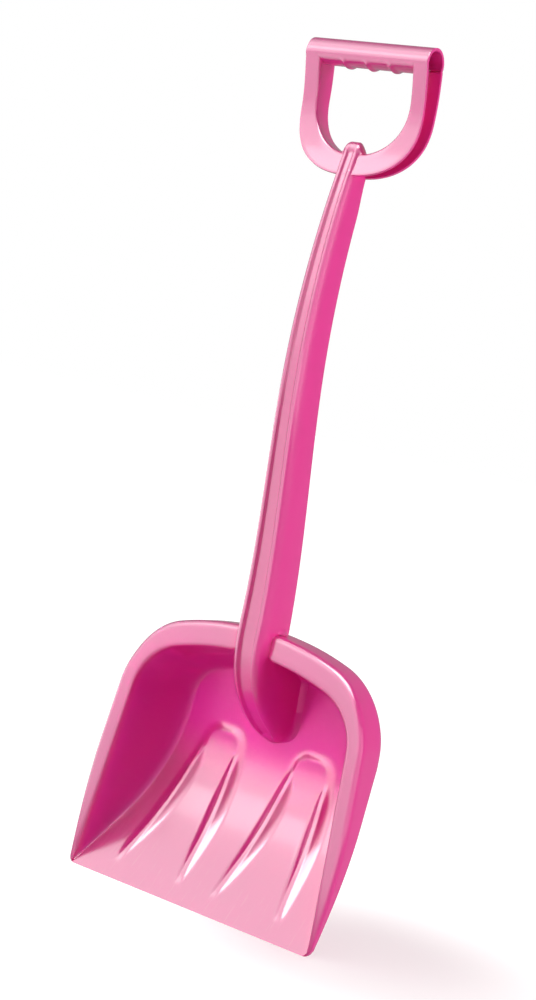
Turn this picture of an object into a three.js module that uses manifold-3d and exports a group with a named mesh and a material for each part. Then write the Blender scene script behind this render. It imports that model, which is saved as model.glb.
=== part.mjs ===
// A children's spade of moulded plastic: a deep scoop blade, a bent hollow shaft and a D-shaped grip.
// It stands on its cutting edge: +Z runs up to the hand bar, -Y is the open front of the scoop, X = 0 is
// the mirror plane, and the origin is the middle of the cutting edge. Sizes are in millimetres.
import * as THREE from 'three';
import { mergeVertices } from 'three/addons/utils/BufferGeometryUtils.js';
import Module from 'manifold-3d';

const wasm = await Module();
wasm.setup();

// Fit between the pieces
const clearance = 0.3;

// Blade: mouth of the scoop, seen from the front
const edgeHalfWidth = 103.5;
const sideTaper = THREE.MathUtils.degToRad(4.5);
const mouthHeight = 182;
const cornerRadius = 42;
const archRadius = 210;
const rimLean = Math.tan(THREE.MathUtils.degToRad(5.2));

// Blade: inside of the scoop
const bladeWall = 2.5;
const rampSlope = Math.tan(THREE.MathUtils.degToRad(41.3));
const panelBack = 68.4;
const rampBlend = 40;
const wallDraft = Math.tan(THREE.MathUtils.degToRad(13));
const creaseBlend = 16;
const creaseDepthShare = 0.6;
const mouthEdgeRadius = 2.5;

// Blade: flat rim and turned-back skirt
const rimTipWidth = 2.5;
const rimSideWidth = 12.4;
const rimBackWidth = 18;
const rimGrowHeight = 90;
const skirtDepth = 26;
const skirtStart = 2.5;
const skirtFullHeight = 128;
const skirtBackDepth = 20;
const rimEdgeRadius = 3;

// Blade: two forked pads pressed up out of the floor
const padInner = 26;
const padOuter = 52;
const padTop = 113;
const padHeight = 5;
const padFade = 62;
const prongTipHeight = 9.5;
const prongInnerTip = 14.7;
const prongOuterTip = 71.3;
const prongHalfWidth = 6;
const prongHeight = 3;

// Blade: boss inside the shaft's hollow foot
const bossLow = 128;
const bossHigh = 152;
const bossHeight = 16;

// Grip: outline seen from the front
const gripTop = 612.5;
const gripHeight = 92.5;
const gripHalfWidth = 49;
const bowRise = 44.5;
const bowSquareness = 2.4;
const holeHalfWidth = 37.5;
const holeRise = 39;
const holeSquareness = 2.2;
const bowWidth = 15;
const barHeight = 18;
const fingerGrooves = 4;
const fingerRidgeHeight = 1.4;
const fingerRidgeWidth = 5;
const gripWall = 2;

// Grip: bent and tapered side view
const gripSetback = 15.1;
const gripBellyDrop = 52.5;
const gripBendRadius = 130;
const barDepth = 22.8;
const bowDepth = 15;
const spigotLength = 36;

// Shaft: front line, seen from the side
const toeHeight = 116;
const footTop = 205;
const footFront = 5.2;
const footSweep = 2.77;
const bulgeHeight = 410;
const bulgeForward = 11.8;
const headProud = 1.4;
const headRise = 8;
const headRound = 6;

// Shaft: section
const shaftWall = 2.5;
const headFrontHalf = 5.4;
const footFrontHalf = 9;
const headLip = 2;
const footLip = 1.4;
const grooveDepth = 1.6;
const grooveEnd = 126;
const headSideHalf = 9.6;
const footSideHalf = 15;
const headDepth = 18;
const footDepth = 28.3;
const toeRound = 16;
const webCount = 5;
const webThickness = 2;
const webInset = 3;

// Places that follow from the sizes above
const edgeFront = (-bladeWall * Math.hypot(1, rampSlope)) / 2;
const gripBellyHeight = gripTop - gripBellyDrop;
const bowBottom = gripTop - gripHeight;
const holeBottom = bowBottom + bowWidth;
const barCentre = gripTop - barDepth / 2;
const barUnder = barHeight - barDepth / 2;
const headTop = holeBottom + headRise;
const seatHeight = mouthHeight - 1;

// How far cutting shapes run past what they cut
const overrun = 10;

// Even steps from one value to another, both ends included
function steps(from, to, count) {
  return Array.from({ length: count + 1 }, (_, i) => from + ((to - from) * i) / count);
}

// The lesser of two values, with a rounded change between them of the given width
function softMin(a, b, width) {
  if (width <= 0) return Math.min(a, b);
  const share = Math.max(width - Math.abs(a - b), 0) / width;
  return Math.min(a, b) - (share * share * width) / 4;
}

// A straight change of a shaft size from its foot value to its head value
function footToHead(foot, head, z) {
  const share = THREE.MathUtils.clamp((z - footTop) / (bowBottom - footTop), 0, 1);
  return THREE.MathUtils.lerp(foot, head, share);
}

// Solids

function toSolid(geometry) {
  geometry.deleteAttribute('normal');
  geometry.deleteAttribute('uv');
  const merged = mergeVertices(geometry, 1e-4);
  const index = merged.index.array;
  const triangles = [];
  for (let i = 0; i < index.length; i += 3) {
    const [a, b, c] = index.subarray(i, i + 3);
    if (a !== b && b !== c && c !== a) triangles.push(a, b, c);
  }
  const vertProperties = new Float32Array(merged.attributes.position.array);
  const mesh = new wasm.Mesh({ numProp: 3, vertProperties, triVerts: new Uint32Array(triangles) });
  return new wasm.Manifold(mesh);
}

function toGeometry(solid) {
  const mesh = solid.getMesh();
  const geometry = new THREE.BufferGeometry();
  geometry.setAttribute('position', new THREE.BufferAttribute(mesh.vertProperties, 3));
  geometry.setIndex(new THREE.BufferAttribute(mesh.triVerts, 1));
  geometry.computeVertexNormals();
  return geometry;
}

// A closed solid through level rings of equal point count. Each ring runs along one flank and back along
// the other, so that its first point faces its last, and an end is closed by a ladder between the flanks.
// A last ring that folds shut on the mirror plane needs no closing.
function loft(rings, foldedEnd = false) {
  const size = rings[0].length;
  const points = rings.flat();
  const triangles = [];
  const addQuad = (a, b, c, d) => triangles.push(a, b, c, a, c, d);
  for (let i = 0; i + 1 < rings.length; i += 1) {
    for (let j = 0; j < size; j += 1) {
      const next = (j + 1) % size;
      addQuad(i * size + j, i * size + next, (i + 1) * size + next, (i + 1) * size + j);
    }
  }
  const last = points.length - size;
  for (let j = 0; j + 1 < size / 2; j += 1) {
    const [a, b, c, d] = [j, j + 1, size - 2 - j, size - 1 - j];
    addQuad(d, c, b, a);
    if (!foldedEnd) addQuad(last + a, last + b, last + c, last + d);
  }
  const inward = THREE.ShapeUtils.area(rings[0]) < 0;
  const geometry = new THREE.BufferGeometry().setFromPoints(points);
  geometry.setIndex(inward ? triangles.reverse() : triangles);
  return toSolid(geometry);
}

function box(x0, x1, y0, y1, z0, z1) {
  const geometry = new THREE.BoxGeometry(x1 - x0, y1 - y0, z1 - z0);
  geometry.translate((x0 + x1) / 2, (y0 + y1) / 2, (z0 + z1) / 2);
  return toSolid(geometry);
}

// Everything between two heights
function between(low, high) {
  const reach = 500;
  return box(-reach, reach, -reach, reach, low, high);
}

// Blade

function rimPlane(z) {
  return edgeFront + rimLean * z;
}

// The inside of the floor: a ramp up from the cutting edge that bends into an upright back panel
function floorBack(z, growth = 0) {
  const ramp = edgeFront + rampSlope * z + growth * Math.hypot(1, rampSlope);
  return softMin(ramp, panelBack + growth, rampBlend);
}

// Half of the mouth's outline from the cutting edge to the mirror plane, as points with outward angles:
// a straight side, a corner arc and a flat arch, each tangent to the next
function mouthOutline(startHeight, sideRows = 10, cornerRows = 8, archRows = 5) {
  const archCentre = mouthHeight - archRadius;
  const side = new THREE.Vector2(-Math.sin(sideTaper), Math.cos(sideTaper));
  const inset = new THREE.Vector2(edgeHalfWidth - cornerRadius * Math.cos(sideTaper),
    -cornerRadius * Math.sin(sideTaper) - archCentre);
  const along = inset.dot(side);
  const length = -along + Math.sqrt(along ** 2 - inset.lengthSq() + (archRadius - cornerRadius) ** 2);
  const corner = inset.clone().addScaledVector(side, length);
  const archAngle = corner.angle();
  const sideTop = length * Math.cos(sideTaper);
  const rows = steps(startHeight, sideTop, sideRows).map((z) => ({
    x: edgeHalfWidth - z * Math.tan(sideTaper),
    z,
    angle: sideTaper * THREE.MathUtils.clamp(z / sideTop, 0, 1),
  }));
  for (const angle of steps(sideTaper, archAngle, cornerRows).slice(1)) {
    const x = corner.x + cornerRadius * Math.cos(angle);
    const z = corner.y + archCentre + cornerRadius * Math.sin(angle);
    rows.push({ x, z, angle });
  }
  for (const angle of steps(archAngle, Math.PI / 2, archRows).slice(1)) {
    const x = archRadius * Math.cos(angle);
    const z = archCentre + archRadius * Math.sin(angle);
    rows.push({ x, z, angle });
  }
  return rows;
}

// One row of a scoop ring: half a section as offsets out from the mouth and depths behind the rim plane,
// followed by its mirror image
function mirroredRing(row, half) {
  const right = half.map(({ out, depth }) => {
    const x = row.x + out * Math.cos(row.angle);
    const z = row.z + out * Math.sin(row.angle);
    return new THREE.Vector3(Math.abs(x) < 1e-6 ? 0 : x, rimPlane(z) + depth, z);
  });
  const left = right.map((p) => new THREE.Vector3(-p.x, p.y, p.z)).reverse();
  return [...right, ...left];
}

// The space that the pan's inner or grown outer face encloses, closed off in front at the cap depth
function scoopSpace(growth, startHeight, capDepth) {
  const insetSteps = 11;
  const deepestInset = cornerRadius * 0.75;
  const firstOut = growth * Math.hypot(1, wallDraft);
  return loft(mouthOutline(startHeight).map((row) => {
    const depthAt = (out) => {
      const z = row.z + out * Math.sin(row.angle);
      const floor = floorBack(z, growth) - rimPlane(z);
      const blend = THREE.MathUtils.clamp(floor * creaseDepthShare, 0, creaseBlend);
      return softMin((firstOut - out) / wallDraft, floor, blend);
    };
    const lip = capDepth < 0 ? THREE.MathUtils.clamp(depthAt(-deepestInset) * 0.3, 0, mouthEdgeRadius) : 0;
    const half = [{ out: firstOut + lip, depth: capDepth }];
    if (capDepth < 0) half.push({ out: firstOut + lip, depth: Math.min(0, depthAt(firstOut)) });
    for (const t of steps(0, 1, insetSteps).slice(capDepth < 0 ? 0 : 1)) {
      const out = THREE.MathUtils.lerp(firstOut - lip * wallDraft, -deepestInset, t ** 1.4);
      half.push({ out, depth: depthAt(out) });
    }
    return mirroredRing(row, half);
  }), true);
}

// How far a row has come around the scoop's corner, from the side to the middle of the arch
function cornerShare(row) {
  const share = (row.angle - sideTaper) / (Math.PI / 2 - sideTaper);
  return THREE.MathUtils.smoothstep(share, 0.2, 0.85);
}

function rimWidth(row) {
  const side = THREE.MathUtils.clamp(row.z / rimGrowHeight, 0, 1);
  const sideWidth = THREE.MathUtils.lerp(rimTipWidth, rimSideWidth, Math.sin((side * Math.PI) / 2));
  return THREE.MathUtils.lerp(sideWidth, rimBackWidth, cornerShare(row));
}

function skirtReach(row) {
  const grown = THREE.MathUtils.clamp(row.z / skirtFullHeight, 0, 1);
  const side = THREE.MathUtils.lerp(skirtStart, skirtDepth, grown);
  return THREE.MathUtils.lerp(side, skirtBackDepth, cornerShare(row));
}

// A slab behind the rim plane, bounded by the rim's outer edge drawn in by the given inset
function rimSlab(inset, frontDepth, backDepthAt, edgeRadius) {
  return loft(mouthOutline(0).map((row) => {
    const out = rimWidth(row) - inset;
    const back = backDepthAt(row);
    const round = Math.min(edgeRadius, out * 0.4, back * 0.4);
    const half = [{ out: out - round, depth: frontDepth }];
    for (const angle of edgeRadius > 0 ? [Math.PI / 6, Math.PI / 3, Math.PI / 2] : []) {
      half.push({
        out: out - round * (1 - Math.sin(angle)),
        depth: frontDepth + round * (1 - Math.cos(angle)),
      });
    }
    half.push({ out, depth: back });
    return mirroredRing(row, half);
  }), true);
}

// A raised bar on the scoop floor, given its edges, flank width and height at each level
function floorBar(levels, edgesAt, flankAt, heightAt) {
  const sunk = bladeWall / 2;
  return loft(levels.map((z) => {
    const [x0, x1] = edgesAt(z);
    const flank = flankAt(z);
    const floor = floorBack(z);
    return [
      new THREE.Vector3(x0 - flank, floor + sunk, z),
      new THREE.Vector3(x0, floor - heightAt(z), z),
      new THREE.Vector3(x1, floor - heightAt(z), z),
      new THREE.Vector3(x1 + flank, floor + sunk, z),
    ];
  }));
}

// One forked pad: a plateau that fades out downwards between two prongs that run on to pointed tips
function forkedPad(mirror) {
  const share = (z) => (z - prongTipHeight) / (padTop - prongTipHeight);
  const placed = (a, b) => (mirror > 0 ? [a, b] : [-b, -a]);
  const crest = 0.8;
  const prong = (tip, top) => floorBar(
    steps(prongTipHeight, padTop - prongHalfWidth, 10),
    (z) => {
      const x = THREE.MathUtils.lerp(tip, top, share(z) ** 0.8);
      return placed(x - crest, x + crest);
    },
    (z) => prongHalfWidth * Math.sqrt(Math.sin(Math.PI * (0.04 + 0.9 * share(z)))),
    (z) => prongHeight * Math.sin(Math.PI * (0.02 + 0.6 * share(z))),
  );
  const plateau = floorBar(
    steps(padFade, padTop, 6),
    () => placed(padInner, padOuter),
    () => prongHalfWidth / 2,
    (z) => padHeight * THREE.MathUtils.smoothstep(z, padFade, padTop),
  );
  return plateau.add(prong(prongInnerTip, padInner)).add(prong(prongOuterTip, padOuter));
}

function makeBlade() {
  const rim = rimSlab(0, 0, skirtReach, rimEdgeRadius)
    .subtract(rimSlab(bladeWall, bladeWall, () => skirtDepth + overrun, 0));
  let blade = rim.add(scoopSpace(bladeWall, 0, 0)).subtract(scoopSpace(0, -overrun / 2, -overrun));
  blade = blade.add(forkedPad(1)).add(forkedPad(-1));
  const notch = shaftOutside(clearance).intersect(between(seatHeight - clearance, gripTop));
  const boss = shaftHollow(clearance)
    .intersect(between(bossLow, bossHigh))
    .intersect(scoopSpace(bladeWall / 2, 0, 0))
    .subtract(box(-footSideHalf, footSideHalf, -panelBack, panelBack - bossHeight, 0, gripTop));
  return blade.subtract(notch).add(boss);
}

// Grip

function gripMiddle(z) {
  return gripSetback - (z - gripBellyHeight) ** 2 / (2 * gripBendRadius);
}

function gripHalfDepth(z) {
  const share = (z - bowBottom) / (barCentre - bowBottom);
  return THREE.MathUtils.lerp(bowDepth, barDepth, THREE.MathUtils.clamp(share, 0, 1) ** 2) / 2;
}

// The outline of the grip or of a space in it: upright sides over half a squared ellipse
function dOutline(halfWidth, top, bottom, rise, squareness) {
  const power = 2 / squareness;
  const outline = new THREE.Shape();
  outline.moveTo(halfWidth, top);
  outline.lineTo(-halfWidth, top);
  for (const angle of steps(0, Math.PI, 26)) {
    const across = Math.cos(angle);
    const x = -halfWidth * Math.sign(across) * Math.abs(across) ** power;
    outline.lineTo(x, bottom + rise * (1 - Math.abs(Math.sin(angle)) ** power));
  }
  outline.closePath();
  return outline;
}

// An outline in the front view, made solid between two depths
function frontExtrusion(shape, y0, y1) {
  const geometry = new THREE.ExtrudeGeometry(shape, { depth: y1 - y0, bevelEnabled: false });
  geometry.rotateX(Math.PI / 2);
  geometry.translate(0, y1, 0);
  return toSolid(geometry);
}

// An outline in the side view, made solid to both sides of the mirror plane
function acrossExtrusion(outline, halfLength) {
  const options = { depth: 2 * halfLength, bevelEnabled: false, curveSegments: 14 };
  const geometry = new THREE.ExtrudeGeometry(outline, options);
  geometry.rotateX(Math.PI / 2);
  geometry.rotateZ(Math.PI / 2);
  geometry.translate(-halfLength, 0, 0);
  return toSolid(geometry);
}

// The grip's side view, bent and thinned towards the bow with a round top, drawn in by an inset
function sideOutline(inset) {
  const outline = new THREE.Shape();
  const levels = steps(bowBottom - overrun, barCentre, 10);
  outline.moveTo(gripMiddle(levels[0]) + gripHalfDepth(levels[0]) - inset, levels[0]);
  for (const z of levels.slice(1)) outline.lineTo(gripMiddle(z) + gripHalfDepth(z) - inset, z);
  outline.absarc(gripMiddle(barCentre), barCentre, barDepth / 2 - inset, 0, Math.PI);
  for (const z of levels.reverse()) outline.lineTo(gripMiddle(z) - gripHalfDepth(z) + inset, z);
  outline.closePath();
  return outline;
}

// The hand bar in side view: round above, flatter below, drawn in by an inset
function barOutline(inset) {
  const middle = gripMiddle(barCentre);
  const outline = new THREE.Shape();
  outline.absarc(middle, barCentre, barDepth / 2 - inset, 0, Math.PI);
  outline.absellipse(middle, barCentre, barDepth / 2 - inset, barUnder - inset, Math.PI, 2 * Math.PI);
  return outline;
}

// Low ridges around the underside of the hand bar, between the fingers
function fingerRidges() {
  const radius = barDepth / 2;
  const spacing = (2 * holeHalfWidth) / fingerGrooves;
  const profile = [[0, -1], [radius - gripWall / 2, -1], [radius + fingerRidgeHeight, 0]]
    .concat([[radius - gripWall / 2, 1], [0, 1]])
    .map(([r, side]) => new THREE.Vector2(r, (side * fingerRidgeWidth) / 2));
  const ridges = steps(spacing - holeHalfWidth, holeHalfWidth - spacing, fingerGrooves - 2).map((x) => {
    const geometry = new THREE.LatheGeometry(profile, 32);
    geometry.rotateZ(-Math.PI / 2);
    geometry.scale(1, 1, barUnder / radius);
    geometry.translate(x, gripMiddle(barCentre), barCentre);
    return toSolid(geometry);
  });
  return ridges.reduce((all, ridge) => all.add(ridge)).intersect(between(bowBottom, barCentre - gripWall));
}

function makeGrip() {
  const [front, back] = [-barDepth, 2 * barDepth];
  const ends = gripHalfWidth + overrun;
  const outside = dOutline(gripHalfWidth, gripTop, bowBottom, bowRise, bowSquareness);
  const hole = dOutline(holeHalfWidth, barCentre, holeBottom, holeRise, holeSquareness);
  const web = dOutline(holeHalfWidth + gripWall, barCentre, holeBottom - gripWall, holeRise, holeSquareness);
  const channel = acrossExtrusion(sideOutline(gripWall), ends)
    .subtract(frontExtrusion(web, front, back))
    .add(acrossExtrusion(barOutline(gripWall), ends));
  const spigot = shaftHollow(clearance)
    .intersect(between(bowBottom - spigotLength, headTop))
    .subtract(behindHead(-gripWall / 2, 0));
  return frontExtrusion(outside, front, back)
    .intersect(acrossExtrusion(sideOutline(0), ends))
    .subtract(frontExtrusion(hole, front - overrun, back + overrun))
    .add(acrossExtrusion(barOutline(0), gripHalfWidth))
    .add(fingerRidges())
    .subtract(channel)
    .subtract(shaftOutside(clearance).subtract(behindHead(0, bowBottom)))
    .add(spigot);
}

// Shaft

// The front of the shaft's lips: a foot that sweeps back to the floor, a slow bend forward to the bulge,
// and a bend back to stand proud of the grip
function frontLine(z) {
  if (z < footTop) {
    const share = (footTop - z) / (footTop - toeHeight);
    return footFront + (floorBack(toeHeight) - footFront) * share ** footSweep;
  }
  if (z < bulgeHeight) {
    const share = (z - footTop) / (bulgeHeight - footTop);
    return THREE.MathUtils.lerp(-bulgeForward, footFront, (1 + Math.cos(share * Math.PI)) / 2);
  }
  const neck = gripMiddle(bowBottom) - gripHalfDepth(bowBottom) - headProud;
  const share = (z - bulgeHeight) / (bowBottom - bulgeHeight);
  return -bulgeForward + (neck + bulgeForward) * share ** 2;
}

// How much of its size a section keeps where the toe and the head round off
function rounding(z) {
  const toe = THREE.MathUtils.clamp((toeHeight + toeRound - z) / toeRound, 0, 1);
  const head = THREE.MathUtils.clamp((z - headTop + headRound) / headRound, 0, 1);
  return Math.max(0.25, Math.sqrt(1 - Math.max(toe, head) ** 2));
}

// The groove in the shaft's front fades out at the toe and under the grip's hole
function grooveShare(z) {
  const { smoothstep } = THREE.MathUtils;
  return smoothstep(z, grooveEnd, grooveEnd + overrun) * (1 - smoothstep(z, bowBottom, holeBottom));
}

// Heights of the shaft's sections, closer together where it bends or rounds off
function shaftLevels(low, high) {
  const toe = steps(toeHeight, toeHeight + toeRound, 4);
  const foot = steps(toeHeight + toeRound, footTop, 9);
  const middle = steps(footTop, bowBottom, 22);
  const head = steps(headTop - headRound, headTop, 4);
  const inner = [...toe, ...foot, ...middle, ...head].filter((z) => z > low + 1 && z < high - 1);
  return [...new Set([low, ...inner, high])];
}

// A section through the shaft at one height: a grooved front between two lips, and sides that round out
// from the lips to the back
function shaftSection(z, growth, backAt) {
  const keep = rounding(z);
  const frontHalf = footToHead(footFrontHalf, headFrontHalf, z) * keep + growth;
  const sideHalf = footToHead(footSideHalf, headSideHalf, z) * keep + growth;
  const lip = footToHead(footLip, headLip, z);
  const grooveHalf = Math.max(frontHalf - growth - lip, 0.5);
  const headSetback = z > headTop - headRound ? (1 - keep) * headRound : 0;
  const front = frontLine(z) + headSetback - growth;
  const depth = footToHead(footDepth, headDepth, z);
  const groove = growth > 0 ? 0 : grooveDepth * grooveShare(z);
  const half = [[grooveHalf * 0.7, front + groove], [grooveHalf, front], [frontHalf, front]];
  for (const share of [0.12, 0.3, 0.6]) {
    half.push([frontHalf + (sideHalf - frontHalf) * (1 - (1 - share) ** 2.5), front + depth * share]);
  }
  half.push([sideHalf, front + depth], [sideHalf, Math.max(backAt(z), front + depth + 0.2)]);
  const right = half.map(([x, y]) => new THREE.Vector3(x, y, z));
  const left = half.map(([x, y]) => new THREE.Vector3(-x, y, z)).reverse();
  return [...right, ...left];
}

function shaftBack(z) {
  return frontLine(z) + footToHead(footDepth, headDepth, z) + 0.5;
}

// The shaft without its hollow. Its foot runs on behind the scoop's floor, to be trimmed there.
function shaftOutside(growth) {
  const behindPan = panelBack + 2 * overrun;
  const foot = loft(shaftLevels(toeHeight, seatHeight).map((z) => shaftSection(z, growth, () => behindPan)));
  const backAt = (z) => shaftBack(z) + growth;
  return foot.add(loft(shaftLevels(seatHeight, headTop).map((z) => shaftSection(z, growth, backAt))));
}

// The shaft's hollow, open at the back. A piece that fills it is drawn in by the clearance.
function shaftHollow(drawnIn) {
  const inset = shaftWall + drawnIn;
  const levels = shaftLevels(toeHeight + shaftWall + drawnIn, headTop - shaftWall - drawnIn);
  const back = panelBack + 2 * overrun;
  return loft(levels.map((z) => {
    const front = frontLine(z) + grooveDepth + inset;
    const keep = rounding(z);
    const frontHalf = Math.max(footToHead(footFrontHalf, headFrontHalf, z) * keep - inset / 2, 1);
    const sideHalf = Math.max(footToHead(footSideHalf, headSideHalf, z) * keep - inset, frontHalf);
    const depth = footToHead(footDepth, headDepth, z);
    const right = [[frontHalf, front], [sideHalf, Math.min(front + depth * 0.6, back - 1)], [sideHalf, back]];
    const ring = [...right, ...right.map(([x, y]) => [-x, y]).reverse()];
    return ring.map(([x, y]) => new THREE.Vector3(x, y, z));
  }));
}

// The space of the grip's back wall and all behind it, from a low level up, brought forward by a gap
function behindHead(gap, low) {
  const levels = [low, ...steps(bowBottom, headTop + overrun, 6)].filter((z, i) => i === 0 || z > low);
  return loft(levels.map((z) => {
    const level = Math.max(z, bowBottom);
    const front = gripMiddle(level) + gripHalfDepth(level) - gripWall - gap;
    const right = [front, 2 * panelBack].map((y) => new THREE.Vector3(gripHalfWidth, y, z));
    const left = right.map((p) => new THREE.Vector3(-p.x, p.y, p.z)).reverse();
    return [...right, ...left];
  }));
}

// Webs across the hollow, with their free edge set in from the back
function crossWebs() {
  const lowest = footTop + 2 * webThickness;
  const highest = bowBottom - spigotLength - 2 * webThickness;
  const hollow = shaftOutside(0);
  const slices = steps(lowest, highest, webCount - 1).map((z) => {
    const back = shaftBack(z) - webInset;
    return box(-footSideHalf, footSideHalf, -2 * panelBack, back, z - webThickness / 2, z + webThickness / 2);
  });
  return slices.reduce((all, slice) => all.add(slice)).intersect(hollow);
}

function makeShaft() {
  const behindFloor = between(toeHeight - overrun, seatHeight).intersect(
    scoopSpace(panelBack, -overrun, -2 * overrun).subtract(scoopSpace(-clearance, -2 * overrun, -3 * overrun)));
  return shaftOutside(0)
    .subtract(shaftHollow(0))
    .add(crossWebs())
    .subtract(behindFloor)
    .subtract(behindHead(clearance, bowBottom - clearance));
}

// Assembly

function pieceMaterial(colour, roughness) {
  return new THREE.MeshStandardMaterial({ color: colour, roughness, metalness: 0 });
}

function piece(name, solid, material) {
  const mesh = new THREE.Mesh(toGeometry(solid), material);
  mesh.name = name;
  return mesh;
}

const spade = new THREE.Group();
spade.add(piece('blade', makeBlade(), pieceMaterial(0xe9669f, 0.28)));
spade.add(piece('shaft', makeShaft(), pieceMaterial(0xe85f9b, 0.28)));
spade.add(piece('d_grip', makeGrip(), pieceMaterial(0xeb6fa6, 0.28)));

export default spade;
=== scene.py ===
import math

import bpy
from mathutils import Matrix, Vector


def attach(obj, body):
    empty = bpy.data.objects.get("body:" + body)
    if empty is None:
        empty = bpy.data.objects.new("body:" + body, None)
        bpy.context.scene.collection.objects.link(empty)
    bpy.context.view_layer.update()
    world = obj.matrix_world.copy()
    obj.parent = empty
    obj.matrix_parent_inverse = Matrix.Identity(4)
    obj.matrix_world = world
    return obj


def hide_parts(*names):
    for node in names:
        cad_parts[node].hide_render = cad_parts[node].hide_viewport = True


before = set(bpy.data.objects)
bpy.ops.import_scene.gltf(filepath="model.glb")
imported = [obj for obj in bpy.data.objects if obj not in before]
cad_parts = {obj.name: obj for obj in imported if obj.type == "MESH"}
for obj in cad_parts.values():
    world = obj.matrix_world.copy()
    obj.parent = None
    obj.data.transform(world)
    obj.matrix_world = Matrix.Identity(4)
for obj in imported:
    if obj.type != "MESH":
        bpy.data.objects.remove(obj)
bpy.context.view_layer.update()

# Blade
# The scoop is moulded in one piece from glossy pink plastic: a ramp that bends up into a back panel, tapered
# side walls, a flat rim with a turned-back skirt, and two forked pads pressed up out of the floor. The rim
# dips back into a pocket for the shaft, whose foot is pressed on there. Sizes of pieces are in millimetres.

edge_half_width = 103.45
side_taper = math.radians(4.5)
mouth_height = 182
corner_radius = 42
arch_radius = 210
rim_lean = math.tan(math.radians(5.2))
blade_wall = 2.5
ramp_slope = math.tan(math.radians(41.3))
panel_back = 68.4
ramp_blend = 40
wall_draft = math.tan(math.radians(13))
wall_inset = 0.75 * corner_radius
wall_spacing = 1.25
crease_blend = 24
crease_depth_share = 0.6
mouth_edge_radius = 2.8
mouth_edge_share = 0.3
rim_tip_width = 2.5
rim_tip_round = 5
rim_side_width = 12.4
rim_back_width = 18
rim_grow_height = 90
rim_back_turn = (0.2, 0.85)
rim_edge_radius = 4.6
rim_edge_share = 0.4
skirt_start = 2.5
skirt_depth = 26
skirt_full_height = 128
skirt_back_depth = 20
pocket_half_width = 12.4
pocket_depth = 21
pocket_squash = 0.02
pocket_upright = 2.5
nose_length = 6
nose_depth = 3
nose_squeeze = 0.55
nose_reach = 8
tip_corner = 5
free_edge_radius = 0.6
edge_front = -blade_wall * math.hypot(1, ramp_slope) / 2


def steps(start, end, count):
    """Even steps from one value to another, both ends included."""
    return [start + (end - start) * i / count for i in range(count + 1)]


def clamp(value, low=0.0, high=1.0):
    return max(low, min(high, value))


def lerp(a, b, share):
    return a + (b - a) * share


def smooth_step(value, low, high):
    share = clamp((value - low) / (high - low))
    return share * share * (3 - 2 * share)


def soft_min(a, b, width):
    """The lesser of two values, with a rounded change between them of the given width."""
    if width <= 0:
        return min(a, b)
    share = max(width - abs(a - b), 0) / width
    return min(a, b) - share * share * width / 4


def soft_max(a, b, width):
    return -soft_min(-a, -b, width)


def corner_loss(radius, share):
    """How much a rounded corner takes off, a share of the way from its start to the full size."""
    return radius * (1 - math.sqrt(1 - (1 - share) ** 2))


def rim_plane(z):
    return edge_front + rim_lean * z


def floor_back(z):
    """The inside of the floor: a ramp up from the cutting edge that bends into the upright back panel."""
    return soft_min(edge_front + ramp_slope * z, panel_back, ramp_blend)


def scoop_depth(out, z):
    """How far the inside of the scoop lies behind the rim plane, at an offset out from the mouth."""
    floor = floor_back(z) - rim_plane(z)
    return soft_min(-out / wall_draft, floor, clamp(floor * crease_depth_share, 0, crease_blend))


def mouth_rows():
    """Half of the mouth's outline up to the mirror plane: place, outward angle and depth of the pocket."""
    arch_centre = mouth_height - arch_radius
    side = Vector((-math.sin(side_taper), math.cos(side_taper)))
    inset = Vector((edge_half_width, -arch_centre))
    inset -= corner_radius * Vector((math.cos(side_taper), math.sin(side_taper)))
    along = inset.dot(side)
    length = -along + math.sqrt(along ** 2 - inset.length_squared + (arch_radius - corner_radius) ** 2)
    corner = inset + side * length
    arch_angle = math.atan2(corner.y, corner.x)
    side_top = length * math.cos(side_taper)
    rows = []
    for z in [tip_corner * share ** 2 for share in steps(0, 1, 8)] + steps(tip_corner, side_top, 64)[1:]:
        rows.append((edge_half_width - z * math.tan(side_taper), z, side_taper * z / side_top, 0))
    for angle in steps(side_taper, arch_angle, 30)[1:]:
        x = corner.x + corner_radius * math.cos(angle)
        z = corner.y + arch_centre + corner_radius * math.sin(angle)
        rows.append((x, z, angle, 0))
    pocket_edge = pocket_half_width + nose_length
    arch = [(x, 0) for x in steps(arch_radius * math.cos(arch_angle), pocket_edge, 14)[1:]]
    for turn in steps(0, math.pi / 2, 9)[1:]:
        x = pocket_half_width + nose_length * (1 - math.sin(turn))
        arch.append((x, nose_depth * (1 - math.cos(turn))))
    arch += [(pocket_half_width, depth) for depth in steps(nose_depth, pocket_depth, 5)[1:]]
    arch += [(x, pocket_depth) for x in steps(pocket_half_width, 0, 5)[1:]]
    for x, pocket in arch:
        angle = math.acos(x / arch_radius)
        upright = 1 - smooth_step(x, pocket_edge, pocket_upright * pocket_edge)
        z = arch_centre + arch_radius * math.sin(angle)
        rows.append((x, z, lerp(angle, math.pi / 2, upright), pocket))
    return rows


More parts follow.
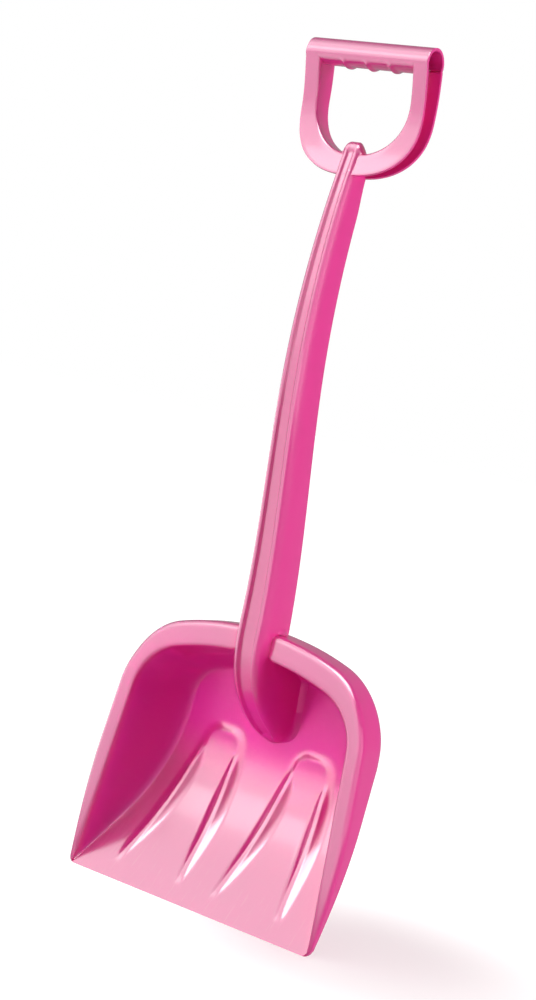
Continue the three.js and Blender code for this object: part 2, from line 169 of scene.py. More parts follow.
def blade_section(x, z, angle, pocket):
    """Half a section of the blade: the skirt from its free edge, the rim, the wall and half the floor."""
    turn = smooth_step((angle - side_taper) / (math.pi / 2 - side_taper), *rim_back_turn)
    grown = math.sin(clamp(z / rim_grow_height) * math.pi / 2)
    rim = lerp(lerp(rim_tip_width, rim_side_width, grown), rim_back_width, turn)
    rim -= corner_loss(rim_tip_width, clamp(z / rim_tip_round))
    skirt = lerp(lerp(skirt_start, skirt_depth, clamp(z / skirt_full_height)), skirt_back_depth, turn)
    edge = min(rim_edge_radius, rim * rim_edge_share, skirt * rim_edge_share)
    inset_z = z - wall_inset * math.sin(angle)
    lip = min(mouth_edge_radius, mouth_edge_share * scoop_depth(-wall_inset, inset_z))
    offsets = [(rim, depth) for depth in steps(skirt, edge, 6)]
    for bend in steps(0, math.pi / 2, 6)[1:]:
        offsets.append((rim - edge * (1 - math.cos(bend)), edge * (1 - math.sin(bend))))
    offsets += [(out, 0) for out in steps(rim - edge, lip, 4)[1:]]
    for bend in steps(0, math.pi / 2, 6)[1:]:
        offsets.append((lip - lip * (1 + wall_draft) * math.sin(bend), lip * (1 - math.cos(bend))))
    for share in steps(0, 1, 40)[1:]:
        out = lerp(-lip * wall_draft, -wall_inset, share ** wall_spacing)
        offsets.append((out, scoop_depth(out, z + out * math.sin(angle))))
    points = []
    for out, depth in offsets:
        squeeze = nose_squeeze * clamp(pocket / nose_depth) * (1 - smooth_step(depth, 0, nose_reach))
        out = lerp(out, (rim + lip) / 2, squeeze)
        if depth < pocket:
            depth = pocket + pocket_squash * depth
        level = z + out * math.sin(angle)
        points.append((x + out * math.cos(angle), rim_plane(level) + depth, level))
    inner_x = points[-1][0]
    points += [(inner_x * (1 - share), floor_back(inset_z), inset_z) for share in steps(0, 1, 100)[1:]]
    return points


def mirrored(half):
    """Half a section and its mirror image, left side first, which share the point on the mirror plane."""
    return [(-x, y, z) for x, y, z in half] + half[-2::-1]


def weld(gap):
    """Merges points of the active object that lie closer than the gap."""
    bpy.ops.object.mode_set(mode="EDIT")
    bpy.ops.mesh.select_all(action="SELECT")
    bpy.ops.mesh.remove_doubles(threshold=gap / 1000)
    bpy.ops.object.mode_set(mode="OBJECT")


def moulded_sheet(name, rows):
    """A flat grid pressed to shape: each row of points is one line of the grid."""
    bpy.ops.object.select_all(action="DESELECT")
    bpy.ops.mesh.primitive_grid_add(x_subdivisions=len(rows[0]) - 1, y_subdivisions=len(rows) - 1)
    sheet = bpy.context.object
    sheet.name = name
    points = [point for row in rows for point in row]
    for vertex, point in zip(sheet.data.vertices, points):
        vertex.co = Vector(point) / 1000
    weld(0.01)
    return sheet


def thicken(sheet, wall, edge_radius):
    """Gives a sheet its wall behind the faces it shows, and softens the free edges."""
    bpy.ops.object.select_all(action="DESELECT")
    sheet.select_set(True)
    bpy.context.view_layer.objects.active = sheet
    solidify = sheet.modifiers.new("wall", "SOLIDIFY")
    solidify.thickness = wall / 1000
    solidify.offset = -1
    bpy.ops.object.modifier_apply(modifier=solidify.name)
    bevel = sheet.modifiers.new("free edges", "BEVEL")
    bevel.width = edge_radius / 1000
    bevel.segments = 2
    bevel.limit_method = "ANGLE"
    bevel.angle_limit = math.radians(65)
    bpy.ops.object.modifier_apply(modifier=bevel.name)


pad_inner = 26
pad_outer = 52
pad_top = 113
pad_fade = 62
pad_height = 2.6
pad_corner = 9
pad_flank = 9
pad_blend = 0.8
prong_tip_height = 9.5
prong_inner_tip = 14.7
prong_outer_tip = 71.3
prong_bend = 0.8
prong_half_width = 8.5
prong_width_wave = (0.04, 0.94)
prong_crest = 1.6
prong_height = 4.4
prong_height_wave = (0.02, 0.62)
prong_fade_in = (0, 0.06)
prong_fade_out = (0.7, 1)


def hollow_flank(beside, width):
    """How much of its height a raised form keeps beside its edge: a flank that hollows out into the floor."""
    return (1 - clamp(beside / width)) ** 2


def half_wave(span, share):
    """A rise and fall along the given span of half a wave."""
    return math.sin(math.pi * lerp(*span, share))


def prong_rise(x, z, tip, top):
    """The height of one prong: a narrow crest between hollow flanks, pointed at its lower end."""
    share = (z - prong_tip_height) / (pad_top - prong_tip_height)
    if not 0 < share < 1:
        return 0
    crest_x = lerp(tip, top, share ** prong_bend)
    flank = prong_half_width * math.sqrt(half_wave(prong_width_wave, share))
    fade = smooth_step(share, *prong_fade_in) * (1 - smooth_step(share, *prong_fade_out))
    height = prong_height * half_wave(prong_height_wave, share) * fade
    return height * hollow_flank(abs(x - crest_x) - prong_crest, flank)


def pad_rise(x, z):
    """The height of a forked pad over the floor: a plateau that fades downwards and two prongs."""
    across = abs(x)
    half = (pad_outer - pad_inner) / 2
    beside = max(abs(across - (pad_inner + pad_outer) / 2) - half + pad_corner, 0)
    above = max(z - pad_top + pad_corner, 0)
    outside = math.hypot(beside, above) - pad_corner
    plateau = pad_height * smooth_step(z, pad_fade, pad_top) * hollow_flank(outside, pad_flank)
    inner_prong = prong_rise(across, z, prong_inner_tip, pad_inner)
    outer_prong = prong_rise(across, z, prong_outer_tip, pad_outer)
    prongs = max(inner_prong, outer_prong)
    return soft_max(plateau, prongs, min(pad_blend, plateau + prongs))


blade = moulded_sheet("blade_shell", [mirrored(blade_section(*row)) for row in mouth_rows()])
thicken(blade, blade_wall, free_edge_radius)
for vertex in blade.data.vertices:
    if vertex.co.z < 0:
        vertex.co.y -= vertex.co.z * ramp_slope
        vertex.co.z = 0
    x, y, z = vertex.co * 1000
    if z < tip_corner:
        widest = edge_half_width + rim_tip_width - corner_loss(tip_corner, z / tip_corner)
        vertex.co.x = clamp(x, -widest, widest) / 1000
    if abs(y - floor_back(z)) < blade_wall / 2 and z > prong_tip_height:
        vertex.co.y -= pad_rise(x, z) / 1000
bpy.ops.object.shade_smooth_by_angle(angle=math.radians(50))

# Where the inside of the scoop gets painted shade and less shine
shade_depths = (30, 50)
shade_heights = (74, 122)
shade_tops = (mouth_height - 14, mouth_height + 4)
shade_sides = (66, 74)
shade_lips = (2, 7)
shade_turns = (0.02, 0.2)
pad_reach = 70


def mark_dull_and_shaded(piece, depths):
    """Marks the back panel and inward side walls inside the scoop for painted shade, a cooler pink, and for
    less shine; the edges of the pads keep their shine.
    """
    dull_and_painted_shade = piece.data.attributes.new("dull_and_painted_shade", "FLOAT", "POINT")
    for vertex, mark in zip(piece.data.vertices, dull_and_painted_shade.data):
        if vertex.normal.y > 0:
            continue
        x, y, z = vertex.co * 1000
        raised = clamp(pad_rise(x, z) / pad_height) if abs(x) < pad_reach else 0
        pad_edge = 4 * raised * (1 - raised)
        under_rim = 1 - smooth_step(z, *shade_tops)
        panel = smooth_step(y, *depths) * smooth_step(z, *shade_heights) * under_rim * (1 - pad_edge)
        turned_in = smooth_step(-vertex.normal.x * math.copysign(1, x), *shade_turns)
        wall = turned_in * smooth_step(abs(x), *shade_sides) * smooth_step(y - rim_plane(z), *shade_lips)
        mark.value = max(panel, wall)


mark_dull_and_shaded(blade, shade_depths)


def feed(tree, socket, value):
    """Gives a node's socket a constant or the output of another node."""
    if isinstance(value, bpy.types.NodeSocket):
        tree.links.new(value, socket)
    else:
        socket.default_value = value


def combine(tree, operation, a, b):
    """A sum, difference or product of two values."""
    node = tree.nodes.new("ShaderNodeMath")
    node.operation = operation
    feed(tree, node.inputs[0], a)
    feed(tree, node.inputs[1], b)
    return node.outputs["Value"]


def ranged(tree, value, low, high, to_low, to_high):
    """A value eased from one range into another."""
    node = tree.nodes.new("ShaderNodeMapRange")
    node.interpolation_type = "SMOOTHSTEP"
    names = ("Value", "From Min", "From Max", "To Min", "To Max")
    for name, given in zip(names, (value, low, high, to_low, to_high)):
        feed(tree, node.inputs[name], given)
    return node.outputs["Result"]


def mixed(tree, kind, share, a, b, blend="MIX"):
    """A mix of two colours or numbers, as the kind says, from the first to the second."""
    node = tree.nodes.new("ShaderNodeMix")
    node.data_type = kind
    node.blend_type = blend
    for name, given in (("Factor", share), ("A", a), ("B", b)):
        feed(tree, node.inputs[name], given)
    return node.outputs["Result"]


def plastic_surface():
    """A node group with the colour, roughness, gloss and fine relief of moulded plastic."""
    group = bpy.data.node_groups.new("moulded_plastic_surface", "ShaderNodeTree")
    for name in ("Colour", "Deep colour"):
        group.interface.new_socket(name, in_out="INPUT", socket_type="NodeSocketColor")
    group.interface.new_socket("Colour", in_out="OUTPUT", socket_type="NodeSocketColor")
    for name in ("Roughness", "Gloss", "Height"):
        group.interface.new_socket(name, in_out="OUTPUT", socket_type="NodeSocketFloat")
    inputs = group.nodes.new("NodeGroupInput")
    outputs = group.nodes.new("NodeGroupOutput")
    place = group.nodes.new("ShaderNodeTexCoord").outputs["Object"]
    place_parts = group.nodes.new("ShaderNodeSeparateXYZ")
    feed(group, place_parts.inputs["Vector"], place)
    # The mask of painted shade and lost shine inside the scoop
    attribute = group.nodes.new("ShaderNodeAttribute")
    attribute.attribute_name = "dull_and_painted_shade"
    dull_and_painted_shade = attribute.outputs["Fac"]

    def noise(scale, detail, stretch=(1, 1, 1)):
        mapping = group.nodes.new("ShaderNodeMapping")
        feed(group, mapping.inputs["Vector"], place)
        feed(group, mapping.inputs["Scale"], stretch)
        texture = group.nodes.new("ShaderNodeTexNoise")
        feed(group, texture.inputs["Vector"], mapping.outputs["Vector"])
        feed(group, texture.inputs["Scale"], scale)
        feed(group, texture.inputs["Detail"], detail)
        return texture.outputs["Fac"]

    # Cloudy depth of colour, drawn out along the flow of the plastic
    clouds = ranged(group, noise(7, 3), 0.3, 0.7, 0, 1)
    flow = ranged(group, noise(11, 4, (1, 1, 0.15)), 0.35, 0.65, 0, 0.5)
    depth = combine(group, "MULTIPLY", combine(group, "ADD", clouds, flow), 0.6)
    colour = mixed(group, "RGBA", depth, inputs.outputs["Colour"], inputs.outputs["Deep colour"])

    # Faint pale scratches near the cutting edge, by height in metres
    near_edge = ranged(group, place_parts.outputs["Z"], 0.004, 0.05, 1, 0)
    scratches = ranged(group, noise(60, 6, (9, 1, 0.6)), 0.56, 0.7, 0, 1)
    scuffs = combine(group, "MULTIPLY", near_edge, scratches)
    scuff_colour = (0.93, 0.5, 0.68, 1)
    colour = mixed(group, "RGBA", combine(group, "MULTIPLY", scuffs, 0.03), colour, scuff_colour)

    # Painted shade: the inside of the scoop is tinted a cooler pink, and its shine is taken down
    painted_shade_tint = (0.95, 1, 1.22, 1)
    colour = mixed(group, "RGBA", dull_and_painted_shade, colour, painted_shade_tint, "MULTIPLY")
    gloss = ranged(group, dull_and_painted_shade, 0, 1, 1, 0.08)

    sheen = ranged(group, noise(23, 2), 0.3, 0.7, 0.34, 0.40)
    roughness = combine(group, "ADD", sheen, combine(group, "MULTIPLY", scuffs, 0.02))
    grain = combine(group, "MULTIPLY", noise(600, 2), 0.15)
    height = combine(group, "SUBTRACT", grain, combine(group, "MULTIPLY", scuffs, 0.01))
    for name, value in (("Colour", colour), ("Roughness", roughness), ("Gloss", gloss), ("Height", height)):
        feed(group, outputs.inputs[name], value)
    return group


plastic_group = plastic_surface()


def pink_plastic(name, colour, deep_colour):
    """A material of glossy plastic between two shades."""
    material = bpy.data.materials.new(name)
    material.use_nodes = True
    nodes, links = material.node_tree.nodes, material.node_tree.links
    shader = nodes["Principled BSDF"]
    shader.inputs["IOR"].default_value = 1.5
    shader.inputs["Coat Roughness"].default_value = 0.15
    shader.inputs["Coat IOR"].default_value = 1.8
    shader.inputs["Specular IOR Level"].default_value = 0.35
    surface = nodes.new("ShaderNodeGroup")
    surface.node_tree = plastic_group
    surface.inputs["Colour"].default_value = colour
    surface.inputs["Deep colour"].default_value = deep_colour
    bump = nodes.new("ShaderNodeBump")
    bump.inputs["Strength"].default_value = 0.04
    bump.inputs["Distance"].default_value = 0.0002
    links.new(surface.outputs["Colour"], shader.inputs["Base Color"])
    links.new(surface.outputs["Roughness"], shader.inputs["Roughness"])
    links.new(surface.outputs["Gloss"], shader.inputs["Coat Weight"])
    links.new(surface.outputs["Height"], bump.inputs["Height"])
    links.new(bump.outputs["Normal"], shader.inputs["Normal"])
    return material


blade.data.materials.append(pink_plastic("blade_pink", (0.80, 0.022, 0.282, 1), (0.77, 0.018, 0.26, 1)))
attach(blade, "root")
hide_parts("blade")

# Grip
# A D-shaped handle moulded in one piece: a U-shaped bow of open channel, its web around the finger hole and
# its open side outwards, under a hollow hand bar that is open at both ends and has low ridges between the
# fingers. A spigot below the bow is pressed into the hollow head of the shaft.

grip_top = 612.5
grip_height = 92.5
grip_half_width = 49
bow_rise = 44.5
bow_squareness = 2.4
bow_width = 15
bow_depth = 15
hole_half_width = 37.5
hole_rise = 39
hole_squareness = 2.2
grip_wall = 2
grip_edge_radius = 2.2
grip_free_edge_radius = 0.4
bar_depth = 22.8
bar_height = 18
grip_setback = 15.1
grip_belly_drop = 52.5
grip_bend_radius = 130
finger_ridges = 3
finger_ridge_height = 1.6
finger_ridge_half_width = 3
leg_join = math.radians(15)
web_lap = 0.9 * grip_wall
web_half_depth = 0.95 * bar_depth / 2
bow_bottom = grip_top - grip_height
hole_bottom = bow_bottom + bow_width
grip_belly_height = grip_top - grip_belly_drop
bar_centre = grip_top - bar_depth / 2
bar_under = bar_height - bar_depth / 2


def grip_middle(z):
    return grip_setback - (z - grip_belly_height) ** 2 / (2 * grip_bend_radius)


def grip_half_depth(z):
    share = clamp((z - bow_bottom) / (bar_centre - bow_bottom))
    return lerp(bow_depth, bar_depth, share ** 2) / 2


def bar_bottom(y):
    """The underside of the hand bar, a flattened half round."""
    across = clamp(abs(y - grip_middle(bar_centre)) / (bar_depth / 2))
    return bar_centre - bar_under * math.sqrt(1 - across ** 2)


def d_point(angle, half_width, bottom, rise, squareness):
    """A point of the D's bow, which is half a squared ellipse."""
    across, down = math.cos(angle), abs(math.sin(angle))
    x = half_width * math.copysign(abs(across) ** (2 / squareness), across)
    return x, bottom + rise * (1 - down ** (2 / squareness))


def bow_section(inner, outer):
    """The channel's section at one place: front face, web at the hole with rounded edges, back face."""
    across = Vector(outer) - Vector(inner)
    reach = across.length
    along = across / reach
    half = [(out, 0) for out in steps(reach, grip_edge_radius, 6)]
    for turn in steps(0, math.pi / 2, 6)[1:]:
        half.append((grip_edge_radius * (1 - math.sin(turn)), grip_edge_radius * (1 - math.cos(turn))))
    section = []
    for side in (-1, 1):
        face = []
        for out, depth in half:
            x, z = Vector(inner) + along * out
            face.append((x, grip_middle(z) + side * (grip_half_depth(z) - depth), z))
        section += face if side < 0 else face[::-1]
    middle = len(half)
    first, last = Vector(section[middle - 1]), Vector(section[middle])
    web = [tuple(first.lerp(last, share)) for share in steps(0, 1, 8)[1:-1]]
    return section[:middle] + web + section[middle:]


def leg_rows(side):
    """The straight part of the bow on one side, from the underside of the hand bar down to the round part."""
    inner = (hole_half_width * side, hole_bottom + hole_rise)
    outer = (grip_half_width * side, bow_bottom + bow_rise)
    rows = []
    for share in steps(1, 0, 14)[:-1]:
        row = []
        for x, y, z in bow_section(inner, outer):
            rise = lerp(z, bar_centre, share)
            scale = grip_half_depth(rise) / grip_half_depth(z) * lerp(1, math.cos(leg_join), share)
            deep = grip_middle(rise) + (y - grip_middle(z)) * scale
            join = bar_bottom(deep)
            if abs(deep - grip_middle(bar_centre)) < web_half_depth:
                join += web_lap
            row.append((x, deep, lerp(z, join, share)))
        rows.append(row)
    return rows


def join_to(piece):
    """Joins the selected objects to a piece, which keeps its name."""
    piece.select_set(True)
    bpy.context.view_layer.objects.active = piece
    bpy.ops.object.join()


bow_rows = leg_rows(1)
for angle in steps(0, math.pi, 64):
    inner = d_point(angle, hole_half_width, hole_bottom, hole_rise, hole_squareness)
    outer = d_point(angle, grip_half_width, bow_bottom, bow_rise, bow_squareness)
    bow_rows.append(bow_section(inner, outer))
bow_rows += leg_rows(-1)[::-1]
grip = moulded_sheet("grip_shell", bow_rows)

flange = steps(grip_half_width, hole_half_width + grip_edge_radius, 6)
ridge_spacing = 2 * hole_half_width / (finger_ridges + 1)
ridge_places = [ridge_spacing * (i + 1) - hole_half_width for i in range(finger_ridges)]
ridge_under = (0.1, 0.6)
bar_radius = bar_depth / 2
bar_rows = []
for x in flange + steps(flange[-1], -flange[-1], 78)[1:-1] + [-x for x in flange[::-1]]:
    ridge = max(1 - smooth_step(abs(x - place), 0, finger_ridge_half_width) for place in ridge_places)
    ring = []
    for turn in steps(0, 2 * math.pi, 72):
        height = bar_radius if math.sin(turn) > 0 else bar_under
        height += finger_ridge_height * ridge * smooth_step(-math.sin(turn), *ridge_under)
        y = grip_middle(bar_centre) - bar_radius * math.cos(turn)
        ring.append((x, y, bar_centre + height * math.sin(turn)))
    bar_rows.append(ring)
bar = moulded_sheet("bar_shell", bar_rows)

# The underside of the bar is open over the channels of the legs
bpy.ops.object.mode_set(mode="EDIT")
bpy.ops.mesh.select_mode(type="FACE")
bpy.ops.mesh.select_all(action="DESELECT")
bpy.ops.object.mode_set(mode="OBJECT")
join_level = bar_centre - bar_under * math.sin(leg_join)
face_slack = 0.01
for face in bar.data.polygons:
    over_leg = abs(face.center.x) * 1000 > hole_half_width + grip_wall / 2
    face.select = over_leg and face.center.z * 1000 < join_level - face_slack
bpy.ops.object.mode_set(mode="EDIT")
bpy.ops.mesh.delete(type="FACE")
bpy.ops.object.mode_set(mode="OBJECT")
join_to(grip)
weld(0.05)
thicken(grip, grip_wall, grip_free_edge_radius)

spigot_length = 36
spigot_low = bow_bottom - spigot_length
spigot_low_sides = (-2.5, 10.8)
spigot_high = hole_bottom - 1
spigot_high_sides = (7.2, 17.6)
spigot_half_widths = (4.8, 6.9)
spigot_edge_radius = 1
bpy.ops.object.select_all(action="DESELECT")
bpy.ops.mesh.primitive_cube_add(size=2)
spigot = bpy.context.object
for vertex in spigot.data.vertices:
    level, sides = (spigot_low, spigot_low_sides) if vertex.co.z < 0 else (spigot_high, spigot_high_sides)
    back = vertex.co.y > 0
    half_width = math.copysign(spigot_half_widths[back], vertex.co.x)
    vertex.co = Vector((half_width, sides[back], level)) / 1000
bevel = spigot.modifiers.new("rounded edges", "BEVEL")
bevel.width = spigot_edge_radius / 1000
bevel.segments = 3
bpy.ops.object.modifier_apply(modifier=bevel.name)
join_to(grip)
bpy.ops.object.shade_smooth_by_angle(angle=math.radians(40))
grip.data.materials.append(pink_plastic("grip_pink", (0.81, 0.024, 0.287, 1), (0.78, 0.02, 0.265, 1)))
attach(grip, "root")
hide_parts("d_grip")

# Shaft
# A bent channel moulded in one piece, open at the back and stiffened by cross webs: two lips with a groove
# between them run down its front. Its foot sweeps back to the scoop's floor, and its hollow head takes the
# grip's spigot and laps over the bow as a rounded knuckle.

toe_height = 116
foot_top = 205
foot_front = 5.2
foot_sweep = 2.77
bulge_height = 410
bulge_forward = 11.75
head_proud = 1.4
head_front_half = 5.4
foot_front_half = 9
lip_half_width = 2.2
head_lip_share = 0.8
groove_slope = 2.6
groove_least_share = 0.3
foot_groove = 3
head_groove = 1.5
groove_end = 120
groove_fade = 3
head_side_half = 9.6
foot_side_half = 15
head_depth = 18
foot_depth = 28.3
side_spacing = 1.8
back_extra = 0.5
toe_round = 14
toe_squareness = 2.5
toe_least_share = 0.12
foot_bite = 0.2
foot_least_depth = 0.6
foot_fillet = 5
foot_fillet_share = 0.6
foot_fillet_ends = (mouth_height - 14, mouth_height - 3)
rim_fillet = 4
rim_fillet_rise = (15, 20)
rim_fillet_fall = (22, 27)
shaft_wall = 2.2
shaft_free_edge_radius = 0.4
web_count = 5
web_thickness = 2
web_inset = 3
web_edge_radius = 0.3


def front_line(z):
    """The front of the lips: a foot that sweeps back, a slow bend forward, and a bend back over the grip."""
    if z < foot_top:
        share = (foot_top - z) / (foot_top - toe_height)
        return foot_front + (floor_back(toe_height) - foot_front) * share ** foot_sweep
    if z < bulge_height:
        share = (z - foot_top) / (bulge_height - foot_top)
        return lerp(-bulge_forward, foot_front, (1 + math.cos(share * math.pi)) / 2)
    neck = grip_middle(bow_bottom) - grip_half_depth(bow_bottom) - head_proud
    return -bulge_forward + (neck + bulge_forward) * ((z - bulge_height) / (bow_bottom - bulge_height)) ** 2


def foot_to_head(foot, head, z):
    return lerp(foot, head, clamp((z - foot_top) / (bow_bottom - foot_top)))


def scoop_inside(z):
    """The inside of the scoop straight behind the shaft."""
    return rim_plane(z) + scoop_depth(z - mouth_height, z)


def shaft_front(z, keep, groove):
    """The front of half a section as places across and depths: the groove's floor and slope up to the lip."""
    head_crest = head_front_half - head_lip_share * lip_half_width
    crest = foot_to_head(foot_front_half - lip_half_width, head_crest, z) * keep
    groove_half = max(crest - groove_slope * keep, groove_least_share * crest)
    front = [(groove_half * share, groove) for share in steps(0, 1, 4)]
    for share in steps(0, 1, 7)[1:]:
        front.append((lerp(groove_half, crest, share), groove * (1 - smooth_step(share, 0, 1))))
    return front


def shaft_side(z, depth, keep, crest, fillet, flare):
    """The side of half a section, from the crest of the lip to the given depth behind it."""
    side_half = foot_to_head(foot_side_half, head_side_half, z) * keep
    full_depth = foot_to_head(foot_depth, head_depth, z)
    side = []
    for share in steps(0, 1, 28)[1:]:
        reach = depth * share ** side_spacing
        around = math.sqrt(1 - (1 - clamp(reach / full_depth)) ** 2)
        x = lerp(crest, side_half, around)
        if depth - reach < fillet:
            x += corner_loss(fillet, (depth - reach) / fillet)
        x += flare * smooth_step(reach, *rim_fillet_rise) * (1 - smooth_step(reach, *rim_fillet_fall))
        side.append((x, reach))
    return side


def shaft_profile(z, depth, keep, groove, fillet, flare=0):
    """Half a section as places across and depths behind the lips, from the middle of the groove outwards."""
    front = shaft_front(z, keep, groove)
    return front + shaft_side(z, depth, keep, front[-1][0], fillet, flare)


def shaft_row(y, z, inward, profile):
    half = [(x, y + depth * inward[0], z + depth * inward[1]) for x, depth in profile]
    return mirrored(half[::-1])


shaft_rows = []
rim_top = mouth_height + rim_back_width
foot_spacing = 1.5
toe_start_share = 0.02
below_rim_top = 0.05
foot_levels = []
for share in steps(toe_start_share, 1, 60):
    foot_levels.append(lerp(toe_height, rim_top, share ** foot_spacing) - below_rim_top)
for share in steps(0, 1, 10)[:-1]:
    foot_levels.append(lerp(rim_top, foot_top, share ** foot_spacing))
for z in foot_levels:
    toe = clamp((toe_height + toe_round - z) / toe_round)
    keep = max(toe_least_share, math.sqrt(1 - toe ** toe_squareness))
    own_back = foot_front + foot_depth + back_extra
    back = max(scoop_inside(z) if z < mouth_height else 0, own_back) + foot_bite
    depth = max(back - front_line(z), foot_least_depth)
    fillet = min(foot_fillet, foot_fillet_share * depth) * (1 - smooth_step(z, *foot_fillet_ends))
    groove = foot_groove * smooth_step(z, groove_end, groove_end + groove_fade)
    flare = corner_loss(rim_fillet, (z - rim_top) / (foot_top - rim_top)) if z >= rim_top else 0
    profile = shaft_profile(z, depth, keep, groove, fillet, flare)
    shaft_rows.append(shaft_row(front_line(z), z, (1, 0), profile))

tuck_start = bow_bottom - 30
tuck_end = bow_bottom + 3
tuck_depth = 3
for z in steps(foot_top, tuck_start, 110) + steps(tuck_start, tuck_end, 16)[1:]:
    tucked = smooth_step(z, tuck_start, tuck_end)
    depth = foot_to_head(foot_depth, head_depth, z) + back_extra - tuck_depth * tucked
    groove = foot_to_head(foot_groove, head_groove, z)
    shaft_rows.append(shaft_row(front_line(z), z, (1, 0), shaft_profile(z, depth, 1, groove, 0)))

knuckle_start = 536.5
knuckle_rise = 7.5
knuckle_run = 6
knuckle_groove_run = 0.55
ridge_share = 0.8
ridge_start = 0.2
ridge_swell = 0.7
pivot_depth = 3
tail_end = 20
tail_height = 1
tail_drop = 1.5
tail_round = 0.96
head_fillet = 1.5
head_bite = 0.8
web_inside = hole_bottom - head_bite


def head_row(top, base, groove, narrow, keep, fillet):
    """A row of the head from a place on its ridge to the place on the grip below it, as (y, z)."""
    inward = Vector(base) - Vector(top)
    depth = inward.length
    profile = shaft_profile(bow_bottom, depth, keep, groove, fillet)
    profile = [(x * lerp(narrow, 1, clamp(reach / depth) ** ridge_swell), reach) for x, reach in profile]
    return shaft_row(top[0], top[1], inward / depth, profile)


def bow_face(z):
    return grip_middle(z) - grip_half_depth(z) + head_bite


for z in steps(tuck_end, knuckle_start, 12):
    shaft_rows.append(head_row((front_line(z), z), (bow_face(z), z), head_groove, 1, 1, head_fillet))
knuckle_base = Vector((bow_face(knuckle_start), knuckle_start))
pivot = Vector((bow_face(knuckle_start) + pivot_depth, web_inside))
for share in steps(0, 1, 16)[1:]:
    turn = share * math.pi / 2
    top_y = front_line(knuckle_start) + knuckle_run * (1 - math.cos(turn))
    top_z = knuckle_start + knuckle_rise * math.sin(turn)
    base = knuckle_base.lerp(pivot, smooth_step(share, 0, 1))
    narrow = lerp(1, ridge_share, smooth_step(share, ridge_start, 1))
    groove = head_groove * (1 - smooth_step(share, 0, knuckle_groove_run))
    shaft_rows.append(head_row((top_y, top_z), base, groove, narrow, 1, head_fillet * (1 - share)))
for share in steps(0, 1, 14)[1:]:
    y = lerp(top_y, tail_end, share)
    z = top_z - (top_z - web_inside - tail_height) * share ** tail_drop
    base = (lerp(pivot.x, tail_end, share), web_inside)
    keep = math.sqrt(1 - (tail_round * share ** 3) ** 2)
    shaft_rows.append(head_row((y, z), base, 0, ridge_share, keep, 0))
shaft = moulded_sheet("shaft_shell", shaft_rows)
thicken(shaft, shaft_wall, shaft_free_edge_radius)

for z in steps(foot_top + 2 * web_thickness, spigot_low - 2 * web_thickness, web_count - 1):
    depth = foot_to_head(foot_depth, head_depth, z) - web_inset
    crest = shaft_front(z, 1, foot_groove)[-1]
    web_rows = []
    for x, reach in [crest] + shaft_side(z, depth, 1, crest[0], 0, 0):
        half_width = max(x - shaft_wall / 2, 0)
        y = front_line(z) + max(reach, foot_groove + shaft_wall)
        web_rows.append([(half_width * share, y, z + web_thickness / 2) for share in steps(-1, 1, 8)])
    web = moulded_sheet("cross_web", web_rows)
    thicken(web, web_thickness, web_edge_radius)
    join_to(shaft)
bpy.ops.object.shade_smooth_by_angle(angle=math.radians(45))
# The shaft's foot inside the scoop gets the same painted shade and less shine
shade_foot_depths = (16, 34)
mark_dull_and_shaded(shaft, shade_foot_depths)
shaft.data.materials.append(pink_plastic("shaft_pink", (0.80, 0.022, 0.282, 1), (0.77, 0.018, 0.26, 1)))
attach(shaft, "root")
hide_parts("shaft")

# Stage
# A plain white floor under soft studio light, most of it from the upper left front, seen from the photo's
# angle. The camera sees the floor as white but for a soft shadow beside the scoop. Places are in metres.

bpy.ops.object.select_all(action="DESELECT")
bpy.ops.mesh.primitive_plane_add(size=30, location=(0, 0, 0))
floor = bpy.context.object
floor.name = "studio_floor"
floor_material = bpy.data.materials.new("studio_white")
floor_material.use_nodes = True
tree = floor_material.node_tree
shader = tree.nodes["Principled BSDF"]
shader.inputs["Base Color"].default_value = (0.95, 0.95, 0.95, 1)
shader.inputs["Roughness"].default_value = 0.9
shader.inputs["Specular IOR Level"].default_value = 0.1
place = tree.nodes.new("ShaderNodeTexCoord").outputs["Object"]
light_path = tree.nodes.new("ShaderNodeLightPath")


def measure(tree, operation, vector, fixed):
    """The distance or the dot product of a vector and a fixed one."""
    node = tree.nodes.new("ShaderNodeVectorMath")
    node.operation = operation
    feed(tree, node.inputs[0], vector)
    feed(tree, node.inputs[1], fixed)
    return node.outputs["Value"]


def mixed_shaders(tree, share, first, second):
    node = tree.nodes.new("ShaderNodeMixShader")
    for socket, given in zip(node.inputs, (share, first, second)):
        feed(tree, socket, given)
    return node.outputs["Shader"]


# Beside the scoop the camera sees partly the floor's own shading and partly a painted shadow: the white there
# is dimmed and tinted pink
shadow_middle = (0.12, 0.06, 0)
painted_shadow_tint = (1, 0.74, 0.79, 1)
plain_white = (1, 1, 1, 1)
fade = ranged(tree, measure(tree, "DISTANCE", place, shadow_middle), 0.03, 0.18, 0.5, 1)
white = tree.nodes.new("ShaderNodeEmission")
white.inputs["Strength"].default_value = 1.16
feed(tree, white.inputs["Color"], mixed(tree, "RGBA", fade, painted_shadow_tint, plain_white))
seen = combine(tree, "MULTIPLY", fade, light_path.outputs["Is Camera Ray"])
seen_floor = mixed_shaders(tree, seen, shader.outputs["BSDF"], white.outputs["Emission"])

# Shiny faces mirror a floor that is brighter in front of the spade
in_front = measure(tree, "DOT_PRODUCT", place, (-0.54, -0.84, 0))
gleam = tree.nodes.new("ShaderNodeEmission")
feed(tree, gleam.inputs["Strength"], ranged(tree, in_front, -0.1, 0.5, 0.36, 2.6))
mirrors = light_path.outputs["Is Glossy Ray"]
whole_floor = mixed_shaders(tree, mirrors, seen_floor, gleam.outputs["Emission"])
feed(tree, tree.nodes["Material Output"].inputs["Surface"], whole_floor)
floor.data.materials.append(floor_material)

spade_middle = Vector((0, 0.02, 0.3))
panel_middle = Vector((0, 0.068, 0.121))


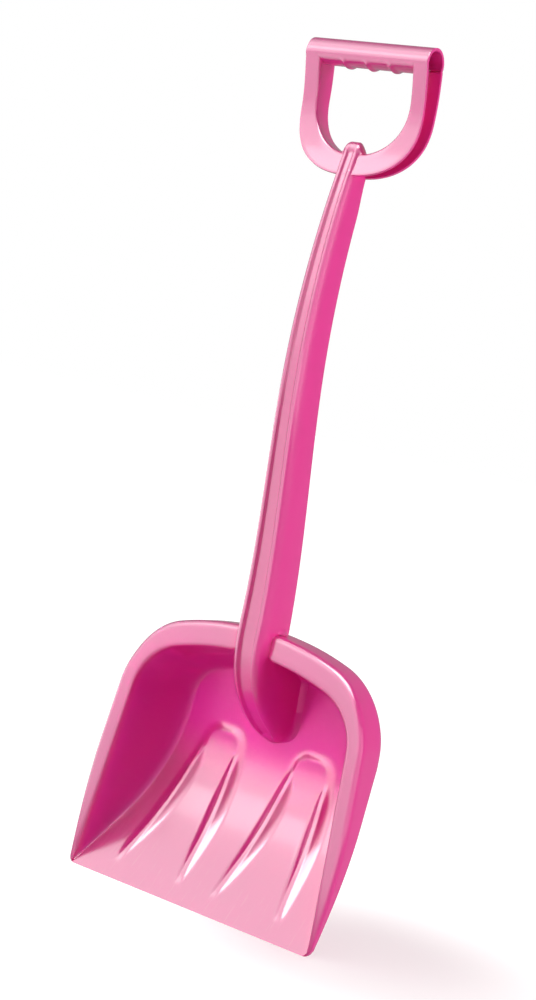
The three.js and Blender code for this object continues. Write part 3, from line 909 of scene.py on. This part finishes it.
def soft_box(name, toward, distance, width, height, brightness,
             lights=True, shines=True, target=spade_middle, spread=180):
    """A soft box that faces its target; it can do without its light, its reflection or its wide spread."""
    direction = Vector(toward).normalized()
    bpy.ops.object.light_add(type="AREA", location=target + direction * distance)
    lamp = bpy.context.object
    lamp.name = name
    lamp.rotation_euler = direction.to_track_quat("Z", "Y").to_euler()
    lamp.data.shape = "RECTANGLE"
    lamp.data.size = width
    lamp.data.size_y = height
    lamp.data.energy = brightness * math.pi * width * height
    lamp.data.spread = math.radians(spread)
    lamp.visible_camera = False
    lamp.visible_diffuse = lights
    lamp.visible_glossy = shines


soft_box("key_box", (-0.54, -0.60, 0.55), 3, 2.4, 2.8, 0.85)
soft_box("band_box", (-0.54, -0.62, 0.55), 2.8, 1.4, 0.7, 2.0)
soft_box("top_box", (0.14, -0.42, 0.90), 2.4, 2.0, 1.3, 9, lights=False)
soft_box("side_box", (0.985, 0.10, 0.20), 3, 1, 2.4, 9, shines=False)
soft_box("shoulder_card", (0.88, -0.42, 0.10), 3, 3.2, 2.4, 1.2, lights=False)
soft_box("front_card", (0.30, -0.87, 0.35), 3, 1.1, 2.4, 0.7, lights=False)
soft_box("front_box", (0.05, -0.75, 0.62), 3, 1.2, 0.8, 1.6)
soft_box("back_box", (0.15, 0.62, 0.77), 3, 2, 2, 1.8, shines=False)
soft_box("panel_box", (-0.24, -0.91, 0.29), 0.62, 0.14, 0.02, 1.5,
         shines=False, target=panel_middle, spread=10)

world = bpy.data.worlds.new("studio")
bpy.context.scene.world = world
world.use_nodes = True
tree = world.node_tree
background = tree.nodes["Background"]
background.inputs["Color"].default_value = (1, 1, 1, 1)
light_path = tree.nodes.new("ShaderNodeLightPath")
direction = tree.nodes.new("ShaderNodeTexCoord").outputs["Generated"]
bright_side = Vector((-0.55, -0.75, 0.35)).normalized()
facing = measure(tree, "DOT_PRODUCT", direction, bright_side)
studio_wall = ranged(tree, facing, 0.2, 0.95, 0.3, 3.2)
mirrored_level = mixed(tree, "FLOAT", light_path.outputs["Is Glossy Ray"], 0.2, studio_wall)
shown_level = mixed(tree, "FLOAT", light_path.outputs["Is Camera Ray"], mirrored_level, 1)
feed(tree, background.inputs["Strength"], shown_level)

# The camera's place and turn were worked out from the mirrored points of the spade in the photo
camera_place = (0.7103, -1.0995, 0.3660)
camera_right = Vector((0.81353, 0.54240, 0.20971))
camera_forward = Vector((-0.54357, 0.83741, -0.05724))
bpy.ops.object.camera_add(location=camera_place)
camera = bpy.context.object
turn = camera_forward.to_track_quat("-Z", "Y")
level_right = turn @ Vector((1, 0, 0))
level_up = turn @ Vector((0, 1, 0))
camera.rotation_euler = turn.to_euler()
camera.rotation_euler.rotate_axis("Z", math.atan2(camera_right.dot(level_up), camera_right.dot(level_right)))
camera.data.sensor_fit = "VERTICAL"
camera.data.sensor_height = 24
camera.data.lens = 45.6
bpy.context.scene.camera = camera
bpy.context.scene.view_settings.view_transform = "Standard"
